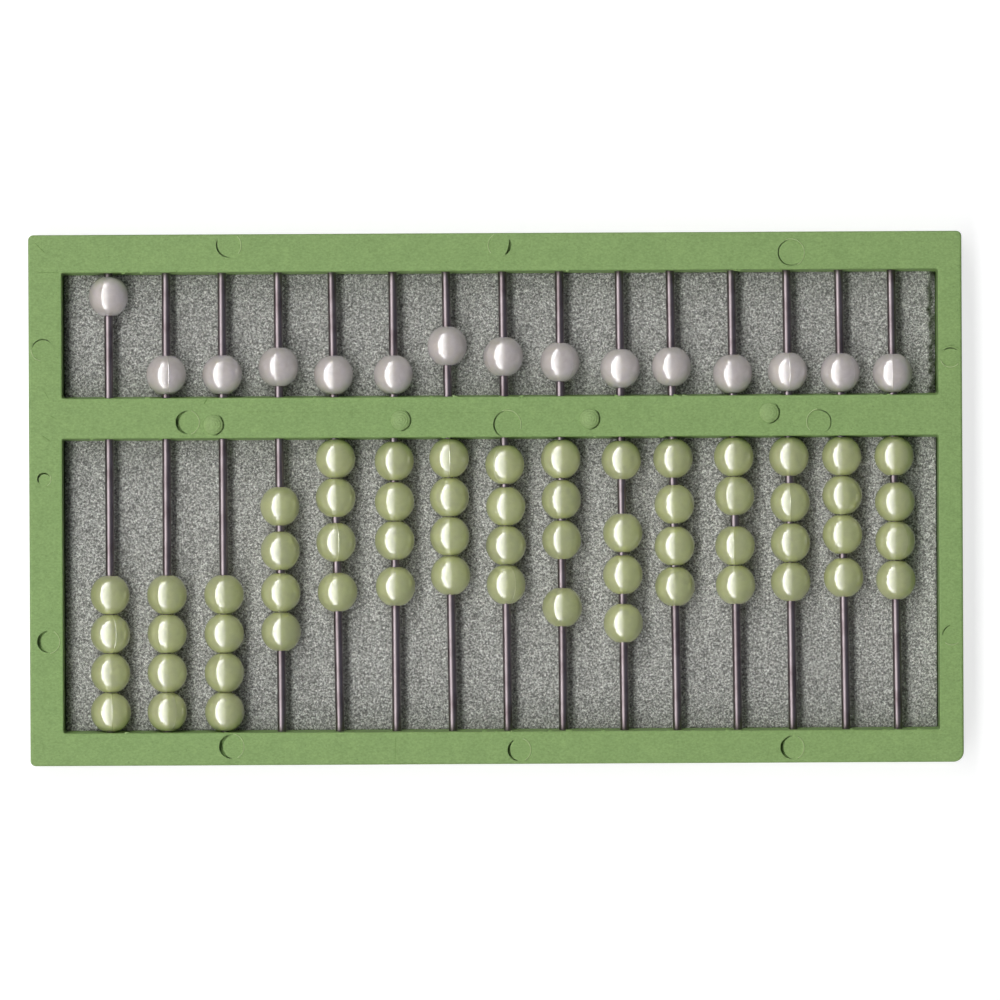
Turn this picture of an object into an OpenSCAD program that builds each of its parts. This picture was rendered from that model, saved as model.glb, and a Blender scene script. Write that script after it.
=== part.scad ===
// Abacus for blind users: a moulded plastic frame with a row of steel rods drilled into it.
// Each rod carries one bead above the counting bar and four below it. A foam sheet behind
// the rods holds the beads where they are put, and a back plate closes the frame.
// Lengths are in millimetres. The origin is the middle of the back face, +X runs along the
// rails to the right, +Y from the bottom rail to the top rail, and +Z out of the front.

/* [Frame] */
// Width of the rail along the top edge
rail_top = 6.5; // [5:0.1:10]
// Width of the rail along the bottom edge
rail_bottom = 5.6; // [5:0.1:10]
// Width of the rail at the left end
rail_left = 5.7; // [4.5:0.1:10]
// Width of the rail at the right end
rail_right = 4.1; // [4:0.1:10]
// Width of the counting bar between the two windows
bar_w = 6.9; // [6:0.1:10]
// Lean of the window walls, which lets the moulding leave its mould, in degrees
wall_lean = 3; // [0:0.5:6]
// Radius of the outer corners
corner_r = 0.9; // [0.3:0.1:2.5]
// Radius of the rounder lower right corner
corner_r_lower_right = 1.8; // [0.3:0.1:3]

/* [Back] */
// Thickness of the back plate
plate_t = 1.6; // [1:0.1:3]
// Width of the frame's rim round the back plate
rim_w = 2; // [1.2:0.1:2.6]
// Gap round the back plate
plate_fit = 0.1; // [0.05:0.05:0.3]
// Thickness of the foam sheet
pad_t = 3; // [1.5:0.1:6]
// Gap round the edge of the foam sheet
pad_fit = 0.2; // [0.1:0.05:0.5]
// How far the room for the foam runs under the rails
pad_lap = 0.3; // [0.1:0.05:0.8]

/* [Rods] */
// Diameter of a rod
rod_d = 1.5; // [1:0.1:2]
// Depth of the rods' axes below the front face
rod_depth = 2.4; // [1.8:0.1:3.4]
// Gap round a rod in its drilled hole
rod_fit = 0.05; // [0.02:0.01:0.1]
// Depth of the blind holes in the bottom rail
rod_seat = 3; // [1.5:0.1:4]
// Depth of the rods' ends below the top edge, where the holes are drilled in
rod_sink = 0.6; // [0.2:0.1:2]
// Bevel at the ends of a rod
rod_bevel = 0.2; // [0.1:0.05:0.4]
// Distance from the left window wall to the first rod
first_rod = 8.1; // [5.5:0.1:14]
// Distance from the last rod's even place to the right window wall
last_rod = 6.3; // [5:0.1:14]
// Length of one step of the rods' stray from even, upright places
stray_step = 0.1; // [0:0.02:0.14]

/* [Beads] */
// Diameter of a bead
bead_d = 7; // [6:0.1:9]
// Depth of the flat that is cut on each end of a bead
bead_flat = 0.2; // [0.15:0.05:0.6]
// Gap between a rod and the bore of its beads
bead_play = 0.2; // [0.1:0.05:0.3]
// Side gap between beads on neighbouring rods at an even pitch
bead_side_gap = 2.7; // [1.2:0.1:6]
// Least gap between two beads, or between a bead and a wall
bead_gap = 0.1; // [0.05:0.05:0.4]
// Gap between the beads and the foam
bead_pad_gap = 0.3; // [0.1:0.05:0.6]
// Free travel of the bead above the bar
upper_travel = 14.4; // [6:0.1:24]
// Free travel of the four beads below the bar
lower_travel = 23.2; // [6:0.1:36]

/* [Marks] */
// Base diameter of a raised dot on the bar
dot_d = 3.3; // [2:0.1:4.5]
// Height of a raised dot
dot_h = 0.7; // [0.3:0.05:1.2]
// Distance between raised dots
dot_pitch = 32; // [20:0.5:38]
// Place of the dots' middle along the bar
dot_middle = -0.4; // [-4:0.1:4]
// Diameter of the ejector pin marks on the long rails and the bar
pin_d = 4.2; // [2:0.1:4.4]
// Diameter of the ejector pin marks on the end rails
side_pin_d = 3.6; // [2:0.1:3.8]
// Diameter of the small pin mark on the left end rail
small_pin_d = 2.4; // [1.5:0.1:3.8]
// Place of the small pin mark along the left end rail
small_pin_y = 3.7; // [-6:0.1:6]
// Depth of the ejector pin marks
pin_depth = 0.2; // [0.1:0.05:0.4]
// Distance between pin marks along the long rails
rail_pin_pitch = 48; // [30:1:60]
// Distance between pin marks along the bar
bar_pin_pitch = 54; // [50:1:60]
// Distance between pin marks along the end rails
side_pin_pitch = 49; // [20:1:60]
// Place of the middle pin marks on the long rails and the bar
pin_middle = 2; // [-4:0.1:4]
// Distance of the bar's pin marks below its middle line
bar_pin_drop = 1; // [0:0.1:1.2]

/* [Hidden] */
$fn = 64;
// Overshoot of a cut past the face that it opens
cut = 1;
// Beads below the bar on each rod
lower_count = 4;

// Steps by which the middle of each hand-drilled rod strays from an even pitch, left to right
rod_stray = [-1, 0, 0, 0, -1, 3, 0, -1, -2, 5, -3, 4, 2, -5, -12];
// Steps by which the foot of each rod strays to the right of its head
foot_stray = [1, -1, 2, 4, 12, 4, 10, 8, 4, 8, 12, 9, 10, 11, 11];
// Place of each upper bead, from 0 at the bar to 1 at the top rail
upper_set = [0.97, 0.03, 0.03, 0.12, 0.02, 0.02, 0.36, 0.23, 0.16, 0.08, 0.1, 0.01, 0.03, 0.02, 0.01];
// Place of each lower bead, from 0 pushed up to the bar to 1 pushed down to the bottom rail
lower_set = [
    [1, 1, 1, 1], [1, 1, 1, 1], [1, 1, 1, 1],
    [0.35, 0.39, 0.41, 0.41], [0, 0, 0.04, 0.12], [0.02, 0.03, 0.03, 0.08],
    [0, 0, 0, 0], [0.05, 0.07, 0.07, 0.07], [0.01, 0.02, 0.03, 0.24],
    [0.02, 0.27, 0.29, 0.36], [0.01, 0.06, 0.08, 0.09], [0, 0, 0.08, 0.08],
    [0, 0.05, 0.06, 0.06], [0, 0, 0, 0.03], [0, 0.05, 0.05, 0.05],
];
// Beads in the group next to the bar; the rest of the rod's lower beads slide as a second group
near_bar_count = [1, 1, 1, 1, 3, 3, 3, 1, 3, 1, 1, 2, 1, 3, 1];

rod_count = len(rod_stray);
rod_index = [0 : rod_count - 1];

// Beads: a ball with a flat on each end and a bore that clears the rod
bead_l = bead_d - 2 * bead_flat;
bead_step = bead_l + bead_gap;
bore_d = rod_d + 2 * bead_play;
flat_r = sqrt(pow(bead_d / 2, 2) - pow(bead_l / 2, 2));

// Heights above the back face
pad_top = plate_t + pad_t;
rod_z = pad_top + bead_pad_gap + bead_d / 2;
frame_t = rod_z + rod_depth;

// Window sizes at the front face: a bead stops where a leaning wall meets the edge of its flat
stop_inset = (rod_depth + flat_r) * tan(wall_lean);
wall_run = (frame_t - pad_top) * tan(wall_lean);
upper_window = bead_step + bead_gap + upper_travel + 2 * stop_inset;
lower_window = lower_count * bead_step + bead_gap + lower_travel + 2 * stop_inset;
rod_pitch = bead_d + bead_side_gap;
window_l = first_rod + (rod_count - 1) * rod_pitch + last_rod;

// Outer size and the lines that bound the rails, the windows and the bar
frame_l = rail_left + window_l + rail_right;
frame_w = rail_bottom + lower_window + bar_w + upper_window + rail_top;
left_x = rail_left - frame_l / 2;
right_x = frame_l / 2 - rail_right;
bottom_y = rail_bottom - frame_w / 2;
bar_low_y = bottom_y + lower_window;
bar_high_y = bar_low_y + bar_w;
top_y = frame_w / 2 - rail_top;

// Rods run from the blind holes in the bottom rail to just inside the top edge
hole_d = rod_d + 2 * rod_fit;
rod_foot_y = bottom_y - rod_seat;
rod_l = frame_w / 2 - rod_sink - rod_foot_y;
rod_middle_y = rod_foot_y + rod_l / 2;

// A dot is the cap of a ball that stands this far below the face
dot_ball_r = (pow(dot_d / 2, 2) + pow(dot_h, 2)) / (2 * dot_h);
dot_index = [-1.5, -0.5, 0.5, 1.5];

frame_color = "#86A06A";
plate_color = "#7C9560";
foam_color = "#9A9A96";
rod_color = "#8F8B86";
upper_color = "#D8CCD0";
lower_color = "#C9D29A";

function rod_x(k) = left_x + first_rod + k * rod_pitch + rod_stray[k] * stray_step;
function rod_lean(k) = asin(foot_stray[k] * stray_step / rod_l);
function upper_y(k) = bar_high_y + stop_inset + bead_gap + bead_l / 2 + upper_set[k] * upper_travel;
function lower_y(k, i) =
    bar_low_y - stop_inset - bead_gap - bead_l / 2 - i * bead_step - lower_set[k][i] * lower_travel;

function rod_label(k) = str(k < 9 ? "0" : "", k + 1);
function upper_name(k) = str("upper_bead_", rod_label(k));
function near_bar_name(k) = str("lower_beads_", rod_label(k), "_near_bar");
function near_rail_name(k) = str("lower_beads_", rod_label(k), "_near_rail");

// Outline of the frame or of the back plate, drawn in from the outer edge
module frame_outline(inset = 0) {
    l = frame_l - 2 * inset;
    w = frame_w - 2 * inset;
    difference() {
        square([l, w], center = true);
        for (sx = [-1, 1], sy = [-1, 1]) {
            r = sx > 0 && sy < 0 ? corner_r_lower_right : corner_r;
            translate([sx * (l / 2 - r), sy * (w / 2 - r)])
                difference() {
                    translate([sx > 0 ? 0 : -2 * r, sy > 0 ? 0 : -2 * r]) square(2 * r);
                    circle(r = r);
                }
        }
    }
}

// Places its children on a leaning rod's axis, with their Y measured along it
module on_rod(k) {
    translate([rod_x(k), rod_middle_y, rod_z])
        rotate([0, 0, rod_lean(k)])
            translate([0, -rod_middle_y, 0]) children();
}

// Leaning side of a window cutter: it starts in the foam's room and ends above the front face
module leaning_profile(low, high) {
    spread = cut * tan(wall_lean);
    inset = wall_run + spread;
    polygon([
        [low + inset, pad_top - cut], [high - inset, pad_top - cut],
        [high + spread, frame_t + cut], [low - spread, frame_t + cut],
    ]);
}

module window_cutter(low_y, high_y) {
    intersection() {
        rotate([90, 0, 0])
            linear_extrude(frame_w, center = true) leaning_profile(left_x, right_x);
        rotate([90, 0, 90])
            linear_extrude(frame_l, center = true) leaning_profile(low_y, high_y);
    }
}

// Outline of the room for the foam sheet, which runs from rail to rail and under the bar
module pad_outline(fit = 0) {
    inset = wall_run - pad_lap + fit;
    translate([left_x + inset, bottom_y + inset])
        square([window_l - 2 * inset, top_y - bottom_y - 2 * inset]);
}

module pin_mark(x, y, d) {
    translate([x, y, frame_t - pin_depth]) cylinder(d = d, h = pin_depth + cut);
}

module pin_marks() {
    for (i = [-1, 0, 1]) {
        pin_mark(pin_middle + i * rail_pin_pitch, (frame_w - rail_top) / 2, pin_d);
        pin_mark(pin_middle + i * rail_pin_pitch, (rail_bottom - frame_w) / 2, pin_d);
        pin_mark(pin_middle + i * bar_pin_pitch, (bar_low_y + bar_high_y) / 2 - bar_pin_drop, pin_d);
    }
    for (i = [-0.5, 0.5]) {
        pin_mark((rail_left - frame_l) / 2, i * side_pin_pitch, side_pin_d);
        pin_mark((frame_l - rail_right) / 2, i * side_pin_pitch, side_pin_d);
    }
    pin_mark((rail_left - frame_l) / 2, small_pin_y, small_pin_d);
}

module rod_holes() {
    for (k = rod_index)
        on_rod(k)
            translate([0, rod_foot_y, 0])
                rotate([-90, 0, 0]) cylinder(d = hole_d, h = frame_w / 2 - rod_foot_y + cut);
}

module raised_dots() {
    for (i = dot_index)
        translate([dot_middle + i * dot_pitch, (bar_low_y + bar_high_y) / 2, frame_t + dot_h - dot_ball_r])
            sphere(r = dot_ball_r);
}

module frame() {
    color(frame_color)
        difference() {
            union() {
                linear_extrude(frame_t) frame_outline();
                raised_dots();
            }
            window_cutter(bottom_y, bar_low_y);
            window_cutter(bar_high_y, top_y);
            translate([0, 0, -cut]) linear_extrude(pad_top + cut) pad_outline();
            translate([0, 0, -cut]) linear_extrude(plate_t + cut) frame_outline(rim_w);
            rod_holes();
            pin_marks();
        }
}

module back_plate() {
    color(plate_color) linear_extrude(plate_t) frame_outline(rim_w + plate_fit);
}

module foam_pad() {
    color(foam_color) translate([0, 0, plate_t]) linear_extrude(pad_t) pad_outline(pad_fit);
}

module rod() {
    r = rod_d / 2;
    rotate([-90, 0, 0])
        rotate_extrude()
            polygon([
                [0, 0], [r - rod_bevel, 0], [r, rod_bevel],
                [r, rod_l - rod_bevel], [r - rod_bevel, rod_l], [0, rod_l],
            ]);
}

module rods() {
    color(rod_color)
        for (k = rod_index)
            on_rod(k) translate([0, rod_foot_y, 0]) rod();
}

// Bead on an axis along Y, turned from the half profile beside its bore
module bead() {
    rotate([-90, 0, 0])
        rotate_extrude()
            intersection() {
                circle(d = bead_d);
                translate([bore_d / 2, -bead_l / 2]) square([bead_d, bead_l]);
            }
}

module upper_bead(k) {
    color(upper_color) on_rod(k) translate([0, upper_y(k), 0]) bead();
}

module lower_beads(k, first, last) {
    color(lower_color)
        on_rod(k)
            for (i = [first : last])
                translate([0, lower_y(k, i), 0]) bead();
}

module lower_beads_near_bar(k) {
    lower_beads(k, 0, near_bar_count[k] - 1);
}

module lower_beads_near_rail(k) {
    lower_beads(k, near_bar_count[k], lower_count - 1);
}

frame();
back_plate();
foam_pad();
rods();
for (k = rod_index) {
    upper_bead(k);
    lower_beads_near_bar(k);
    lower_beads_near_rail(k);
}
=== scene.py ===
"""Looks of a pocket abacus for the blind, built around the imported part.

The moulded frame, foam sheet, rods and beads are modelled here in millimetres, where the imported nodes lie,
and ride the bodies that carry them. A strip lamp on the left and a camera straight above give the
photographed view. Sizes are in millimetres and angles in degrees, where nothing else is said.
"""

import logging
import math
import random
from dataclasses import dataclass, field
from enum import Enum
from functools import cache
from typing import Any

import bmesh
import bpy
from mathutils import Matrix, Vector, noise


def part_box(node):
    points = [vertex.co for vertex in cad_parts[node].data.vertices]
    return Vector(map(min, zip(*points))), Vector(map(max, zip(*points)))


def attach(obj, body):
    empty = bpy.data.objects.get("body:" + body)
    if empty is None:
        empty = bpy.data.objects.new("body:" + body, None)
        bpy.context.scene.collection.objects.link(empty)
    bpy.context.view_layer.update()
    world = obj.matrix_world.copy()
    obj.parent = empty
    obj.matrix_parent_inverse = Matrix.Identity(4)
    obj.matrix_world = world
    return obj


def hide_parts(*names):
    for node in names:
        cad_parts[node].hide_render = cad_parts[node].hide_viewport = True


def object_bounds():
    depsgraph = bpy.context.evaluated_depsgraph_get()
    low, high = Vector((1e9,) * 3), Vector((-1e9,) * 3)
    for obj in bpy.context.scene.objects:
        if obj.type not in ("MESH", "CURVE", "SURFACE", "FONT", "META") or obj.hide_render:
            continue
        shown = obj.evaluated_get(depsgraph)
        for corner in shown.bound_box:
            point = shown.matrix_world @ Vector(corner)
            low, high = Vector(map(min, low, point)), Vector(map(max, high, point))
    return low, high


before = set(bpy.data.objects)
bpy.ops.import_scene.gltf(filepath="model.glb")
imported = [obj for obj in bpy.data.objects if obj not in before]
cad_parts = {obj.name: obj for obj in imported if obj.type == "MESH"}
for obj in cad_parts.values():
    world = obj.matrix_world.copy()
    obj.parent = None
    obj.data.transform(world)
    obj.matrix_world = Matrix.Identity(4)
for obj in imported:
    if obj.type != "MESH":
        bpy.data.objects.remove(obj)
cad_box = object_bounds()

log = logging.getLogger("abacus")

Shape = bmesh.types.BMesh
Vert = bmesh.types.BMVert
Edge = bmesh.types.BMEdge
Piece = bpy.types.Object
Material = bpy.types.Material
Tree = bpy.types.NodeTree
Socket = bpy.types.NodeSocket

MM = 0.001

# Points of a modelled shape that lie nearer than this are one point.
MERGE_DISTANCE = 0.0005

# A Mix node has sockets for every type of data. These are its share, and the ones for colours.
SHARE, FIRST, SECOND, MIXED = 0, 6, 7, 2


class Carve(Enum):
    """What a second shape does to a first one."""

    CUT = "DIFFERENCE"
    JOIN = "UNION"


class Row(Enum):
    """The two rows of beads, each with a name."""

    UPPER = "upper_pearl"
    LOWER = "lower_pearl"


def linear(code: str) -> tuple[float, float, float, float]:
    """Turn an sRGB hex colour into the linear colour that a shader socket takes.

    Args:
        code: Colour such as "#88A16A".

    Returns:
        Red, green, blue and a full alpha.
    """
    parts = [int(code[i:i + 2], 16) / 255 for i in (1, 3, 5)]
    red, green, blue = [c / 12.92 if c <= 0.04045 else ((c + 0.055) / 1.055) ** 2.4 for c in parts]
    return red, green, blue, 1.0


def pattern_scale(feature: float) -> float:
    """Texture scale on Object coordinates for a pattern whose feature is that many millimetres."""
    return 1 / (feature * MM)


def box_mm(node: str) -> tuple[Vector, Vector]:
    """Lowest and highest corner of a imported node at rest, in millimetres."""
    low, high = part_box(node)
    return low / MM, high / MM


def add_node(tree: Tree, kind: str, settings: dict[str | int, Any] | None = None) -> bpy.types.Node:
    """Add a shader node with its settings and its links.

    Args:
        tree: Node tree that gets the node.
        kind: Blender's name of the node type.
        settings: Properties by name, and inputs by name or index with a value or the output that feeds them.

    Returns:
        The new node.
    """
    node = tree.nodes.new(kind)
    for key, value in (settings or {}).items():
        if isinstance(value, Socket):
            tree.links.new(value, node.inputs[key])
        elif isinstance(key, str) and hasattr(node, key):
            setattr(node, key, value)
        else:
            node.inputs[key].default_value = value
    return node


@dataclass(frozen=True)
class Finish:
    """A finish, by the name of its material. Each kind of finish draws its own skin."""

    name: str

    def material(self) -> Material:
        """Build the material.

        Returns:
            The finished material.
        """
        material = bpy.data.materials.new(self.name)
        material.use_nodes = True
        tree = material.node_tree
        tree.nodes.clear()
        add_node(tree, "ShaderNodeOutputMaterial", {"Surface": self.skin(tree)})
        return material

    def skin(self, tree: Tree) -> Socket:
        """Draw the finish's nodes.

        Args:
            tree: Node tree that gets the nodes.

        Returns:
            The shader's output.
        """
        raise NotImplementedError


@dataclass(frozen=True)
class MouldedPolystyrene(Finish):
    """Green polystyrene from a plain steel mould: a satin skin, faintly clouded, with specks and scratches.

    The real grain and scratches are finer than these, which are as coarse as they need to be to show. The
    turns of the scratches are in radians.
    """

    name: str = "moulded_polystyrene_green"
    deep_green: str = "#6A8848"
    pale_green: str = "#82A05E"
    speck_green: str = "#42552C"
    # Paler green of the burrs, partly stress-whitening and partly a painted highlight, and of the domes'
    # faint painted highlight.
    strain_and_highlight_green: str = "#BBCD97"
    cloud_size: float = 3.2
    cloud_weight: float = 0.45
    grain_width: float = 0.28
    grain_length: float = 0.4
    speck_size: float = 0.32
    peel_size: float = 0.9
    scratch_width: float = 0.22
    scratch_length: float = 9.0
    scratch_turns: tuple[float, float] = (0.02, 1.62)
    relief: float = 0.03
    roughness: tuple[float, float] = (0.58, 0.74)

    def skin(self, tree: Tree) -> Socket:
        """Draw the clouds, the grain, the specks, the pale burrs and domes, which are partly a painted
        highlight, and the scratches.

        Args:
            tree: Node tree that gets the nodes.

        Returns:
            The shader's output.
        """
        place = add_node(tree, "ShaderNodeTexCoord").outputs["Object"]
        cloud = add_node(tree, "ShaderNodeTexNoise", {
            "Scale": pattern_scale(self.cloud_size), "Detail": 5.0, "Roughness": 0.65, "Vector": place,
        }).outputs["Fac"]
        grain_sizes = (self.grain_length, self.grain_width, self.grain_width)
        flow = add_node(tree, "ShaderNodeMapping", {
            "Scale": [pattern_scale(size) for size in grain_sizes], "Vector": place,
        })
        grain = add_node(tree, "ShaderNodeTexNoise", {
            "Scale": 1.0, "Detail": 2.0, "Vector": flow.outputs["Vector"],
        })
        mottle = add_node(tree, "ShaderNodeMath", {
            "operation": "MULTIPLY_ADD", 0: cloud, 1: self.cloud_weight, 2: grain.outputs["Fac"],
        })
        paleness = add_node(tree, "ShaderNodeMapRange", {
            "From Min": 0.45, "From Max": 1.0, "Value": mottle.outputs["Value"],
        })
        ground = add_node(tree, "ShaderNodeMix", {
            "data_type": "RGBA", SHARE: paleness.outputs["Result"],
            FIRST: linear(self.deep_green), SECOND: linear(self.pale_green),
        })
        speck = add_node(tree, "ShaderNodeTexNoise", {
            "Scale": pattern_scale(self.speck_size), "Detail": 2.0, "Vector": place,
        })
        speckiness = add_node(tree, "ShaderNodeMapRange", {
            "From Min": 0.66, "From Max": 0.8, "To Max": 0.6, "Value": speck.outputs["Fac"],
        })
        specked = add_node(tree, "ShaderNodeMix", {
            "data_type": "RGBA", SHARE: speckiness.outputs["Result"],
            FIRST: ground.outputs[MIXED], SECOND: linear(self.speck_green),
        })
        # Painted highlight: the burrs and the domes are mixed towards the pale green, and on the burrs this
        # also stands for stress-whitening.
        strain_and_highlight = add_node(tree, "ShaderNodeAttribute", {"attribute_name": "strain_and_highlight"})
        strained_and_highlighted = add_node(tree, "ShaderNodeMix", {
            "data_type": "RGBA", SHARE: strain_and_highlight.outputs["Fac"],
            FIRST: specked.outputs[MIXED], SECOND: linear(self.strain_and_highlight_green),
        })
        across, along = pattern_scale(self.scratch_width), pattern_scale(self.scratch_length)
        marks = []
        for turn in self.scratch_turns:
            turned = add_node(tree, "ShaderNodeMapping", {
                "Rotation": (0.0, 0.0, turn), "Scale": (across, along, along), "Vector": place,
            })
            streak = add_node(tree, "ShaderNodeTexNoise", {
                "Scale": 1.0, "Detail": 1.0, "Vector": turned.outputs["Vector"],
            })
            mark = add_node(tree, "ShaderNodeMapRange", {
                "From Min": 0.66, "From Max": 0.72, "Value": streak.outputs["Fac"],
            })
            marks.append(mark.outputs["Result"])
        scratches = add_node(tree, "ShaderNodeMath", {"operation": "MAXIMUM", 0: marks[0], 1: marks[1]})
        peel = add_node(tree, "ShaderNodeTexNoise", {
            "Scale": pattern_scale(self.peel_size), "Detail": 2.0, "Vector": place,
        })
        height = add_node(tree, "ShaderNodeMath", {
            "operation": "SUBTRACT", 0: peel.outputs["Fac"], 1: scratches.outputs["Value"],
        })
        bump = add_node(tree, "ShaderNodeBump", {
            "Strength": 0.35, "Distance": self.relief * MM, "Height": height.outputs["Value"],
        })
        glossiest, dullest = self.roughness
        gloss = add_node(tree, "ShaderNodeMapRange", {"To Min": glossiest, "To Max": dullest, "Value": cloud})
        skin = add_node(tree, "ShaderNodeBsdfPrincipled", {
            "IOR": 1.46,
            "Base Color": strained_and_highlighted.outputs[MIXED],
            "Roughness": gloss.outputs["Result"],
            "Normal": bump.outputs["Normal"],
        })
        return skin.outputs["BSDF"]


@dataclass(frozen=True)
class PolyurethaneFoam(Finish):
    """Grey polyurethane foam, cut open: painted shade as dark pores between curly pale struts, with painted
    glints on the struts where a noise lets them.
    """

    name: str = "cut_polyurethane_foam"
    wall_grey: str = "#B3B4AD"
    # The pore grey is painted shade and the strut white is a painted highlight.
    pore_shade_grey: str = "#5A5A57"
    strut_glint_white: str = "#FAFCF6"
    cell_size: float = 0.42
    bend_size: float = 0.28
    cloud_size: float = 0.36
    relief: float = 0.25

    def skin(self, tree: Tree) -> Socket:
        """Draw the painted shade of the pores, the walls between them and the struts' painted glints.

        Args:
            tree: Node tree that gets the nodes.

        Returns:
            The shader's output.
        """
        place = add_node(tree, "ShaderNodeTexCoord").outputs["Object"]
        bend = add_node(tree, "ShaderNodeTexNoise", {
            "Scale": pattern_scale(self.bend_size), "Detail": 1.0, "Vector": place,
        })
        reach = self.cell_size * MM
        bent = add_node(tree, "ShaderNodeVectorMath", {
            "operation": "MULTIPLY_ADD", 0: bend.outputs["Color"], 1: (reach, reach, reach), 2: place,
        })
        cells = add_node(tree, "ShaderNodeTexVoronoi", {
            "feature": "DISTANCE_TO_EDGE",
            "Scale": pattern_scale(self.cell_size), "Vector": bent.outputs["Vector"],
        })
        strut = add_node(tree, "ShaderNodeMapRange", {
            "From Min": 0.16, "From Max": 0.03, "Value": cells.outputs["Distance"],
        }).outputs["Result"]
        tone = add_node(tree, "ShaderNodeTexNoise", {
            "Scale": pattern_scale(self.cloud_size), "Detail": 3.0, "Roughness": 0.7, "Vector": place,
        }).outputs["Fac"]
        # Painted shade: the darker pore grey stands for the shade in the pores, spread by the tone noise.
        paleness = add_node(tree, "ShaderNodeMapRange", {"From Min": 0.32, "From Max": 0.66, "Value": tone})
        ground = add_node(tree, "ShaderNodeMix", {
            "data_type": "RGBA", SHARE: paleness.outputs["Result"],
            FIRST: linear(self.pore_shade_grey), SECOND: linear(self.wall_grey),
        })
        # Painted highlight: the struts are mixed towards near-white as glints wherever the tone noise is
        # high.
        flat = add_node(tree, "ShaderNodeMapRange", {"From Min": 0.42, "From Max": 0.62, "Value": tone})
        glint = add_node(tree, "ShaderNodeMath", {
            "operation": "MULTIPLY", 0: strut, 1: flat.outputs["Result"],
        })
        lit = add_node(tree, "ShaderNodeMix", {
            "data_type": "RGBA", SHARE: glint.outputs["Value"],
            FIRST: ground.outputs[MIXED], SECOND: linear(self.strut_glint_white),
        })
        bump = add_node(tree, "ShaderNodeBump", {
            "Strength": 0.7, "Distance": self.relief * MM, "Height": strut,
        })
        skin = add_node(tree, "ShaderNodeBsdfPrincipled", {
            "IOR": 1.45,
            "Base Color": lit.outputs[MIXED],
            "Roughness": 0.75,
            "Normal": bump.outputs["Normal"],
        })
        return skin.outputs["BSDF"]


@dataclass(frozen=True)
class DrawnSteel(Finish):
    """Plain drawn steel wire: bright, with lengthwise die lines and a thin brown tarnish in patches.

    The real die lines are finer than these, which are as coarse as they need to be to show.
    """

    name: str = "drawn_steel_wire"
    bright: str = "#837A7D"
    tarnish: str = "#5C5052"
    line_width: float = 0.12
    line_length: float = 20.0
    patch_size: float = 4.0
    relief: float = 0.02
    roughness: tuple[float, float] = (0.28, 0.44)

    def skin(self, tree: Tree) -> Socket:
        """Draw the die lines and the tarnish.

        Args:
            tree: Node tree that gets the nodes.

        Returns:
            The shader's output.
        """
        place = add_node(tree, "ShaderNodeTexCoord").outputs["Object"]
        across, along = pattern_scale(self.line_width), pattern_scale(self.line_length)
        drawn = add_node(tree, "ShaderNodeMapping", {"Scale": (across, along, across), "Vector": place})
        lines = add_node(tree, "ShaderNodeTexNoise", {
            "Scale": 1.0, "Detail": 2.0, "Vector": drawn.outputs["Vector"],
        }).outputs["Fac"]
        patches = add_node(tree, "ShaderNodeTexNoise", {
            "Scale": pattern_scale(self.patch_size), "Detail": 4.0, "Vector": place,
        })
        dullness = add_node(tree, "ShaderNodeMapRange", {
            "From Min": 0.45, "From Max": 0.7, "To Max": 0.7, "Value": patches.outputs["Fac"],
        })
        colour = add_node(tree, "ShaderNodeMix", {
            "data_type": "RGBA", SHARE: dullness.outputs["Result"],
            FIRST: linear(self.bright), SECOND: linear(self.tarnish),
        })
        glossiest, dullest = self.roughness
        gloss = add_node(tree, "ShaderNodeMapRange", {"To Min": glossiest, "To Max": dullest, "Value": lines})
        bump = add_node(tree, "ShaderNodeBump", {
            "Strength": 0.25, "Distance": self.relief * MM, "Height": lines,
        })
        skin = add_node(tree, "ShaderNodeBsdfPrincipled", {
            "Metallic": 1.0,
            "Base Color": colour.outputs[MIXED],
            "Roughness": gloss.outputs["Result"],
            "Normal": bump.outputs["Normal"],
        })
        return skin.outputs["BSDF"]


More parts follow.
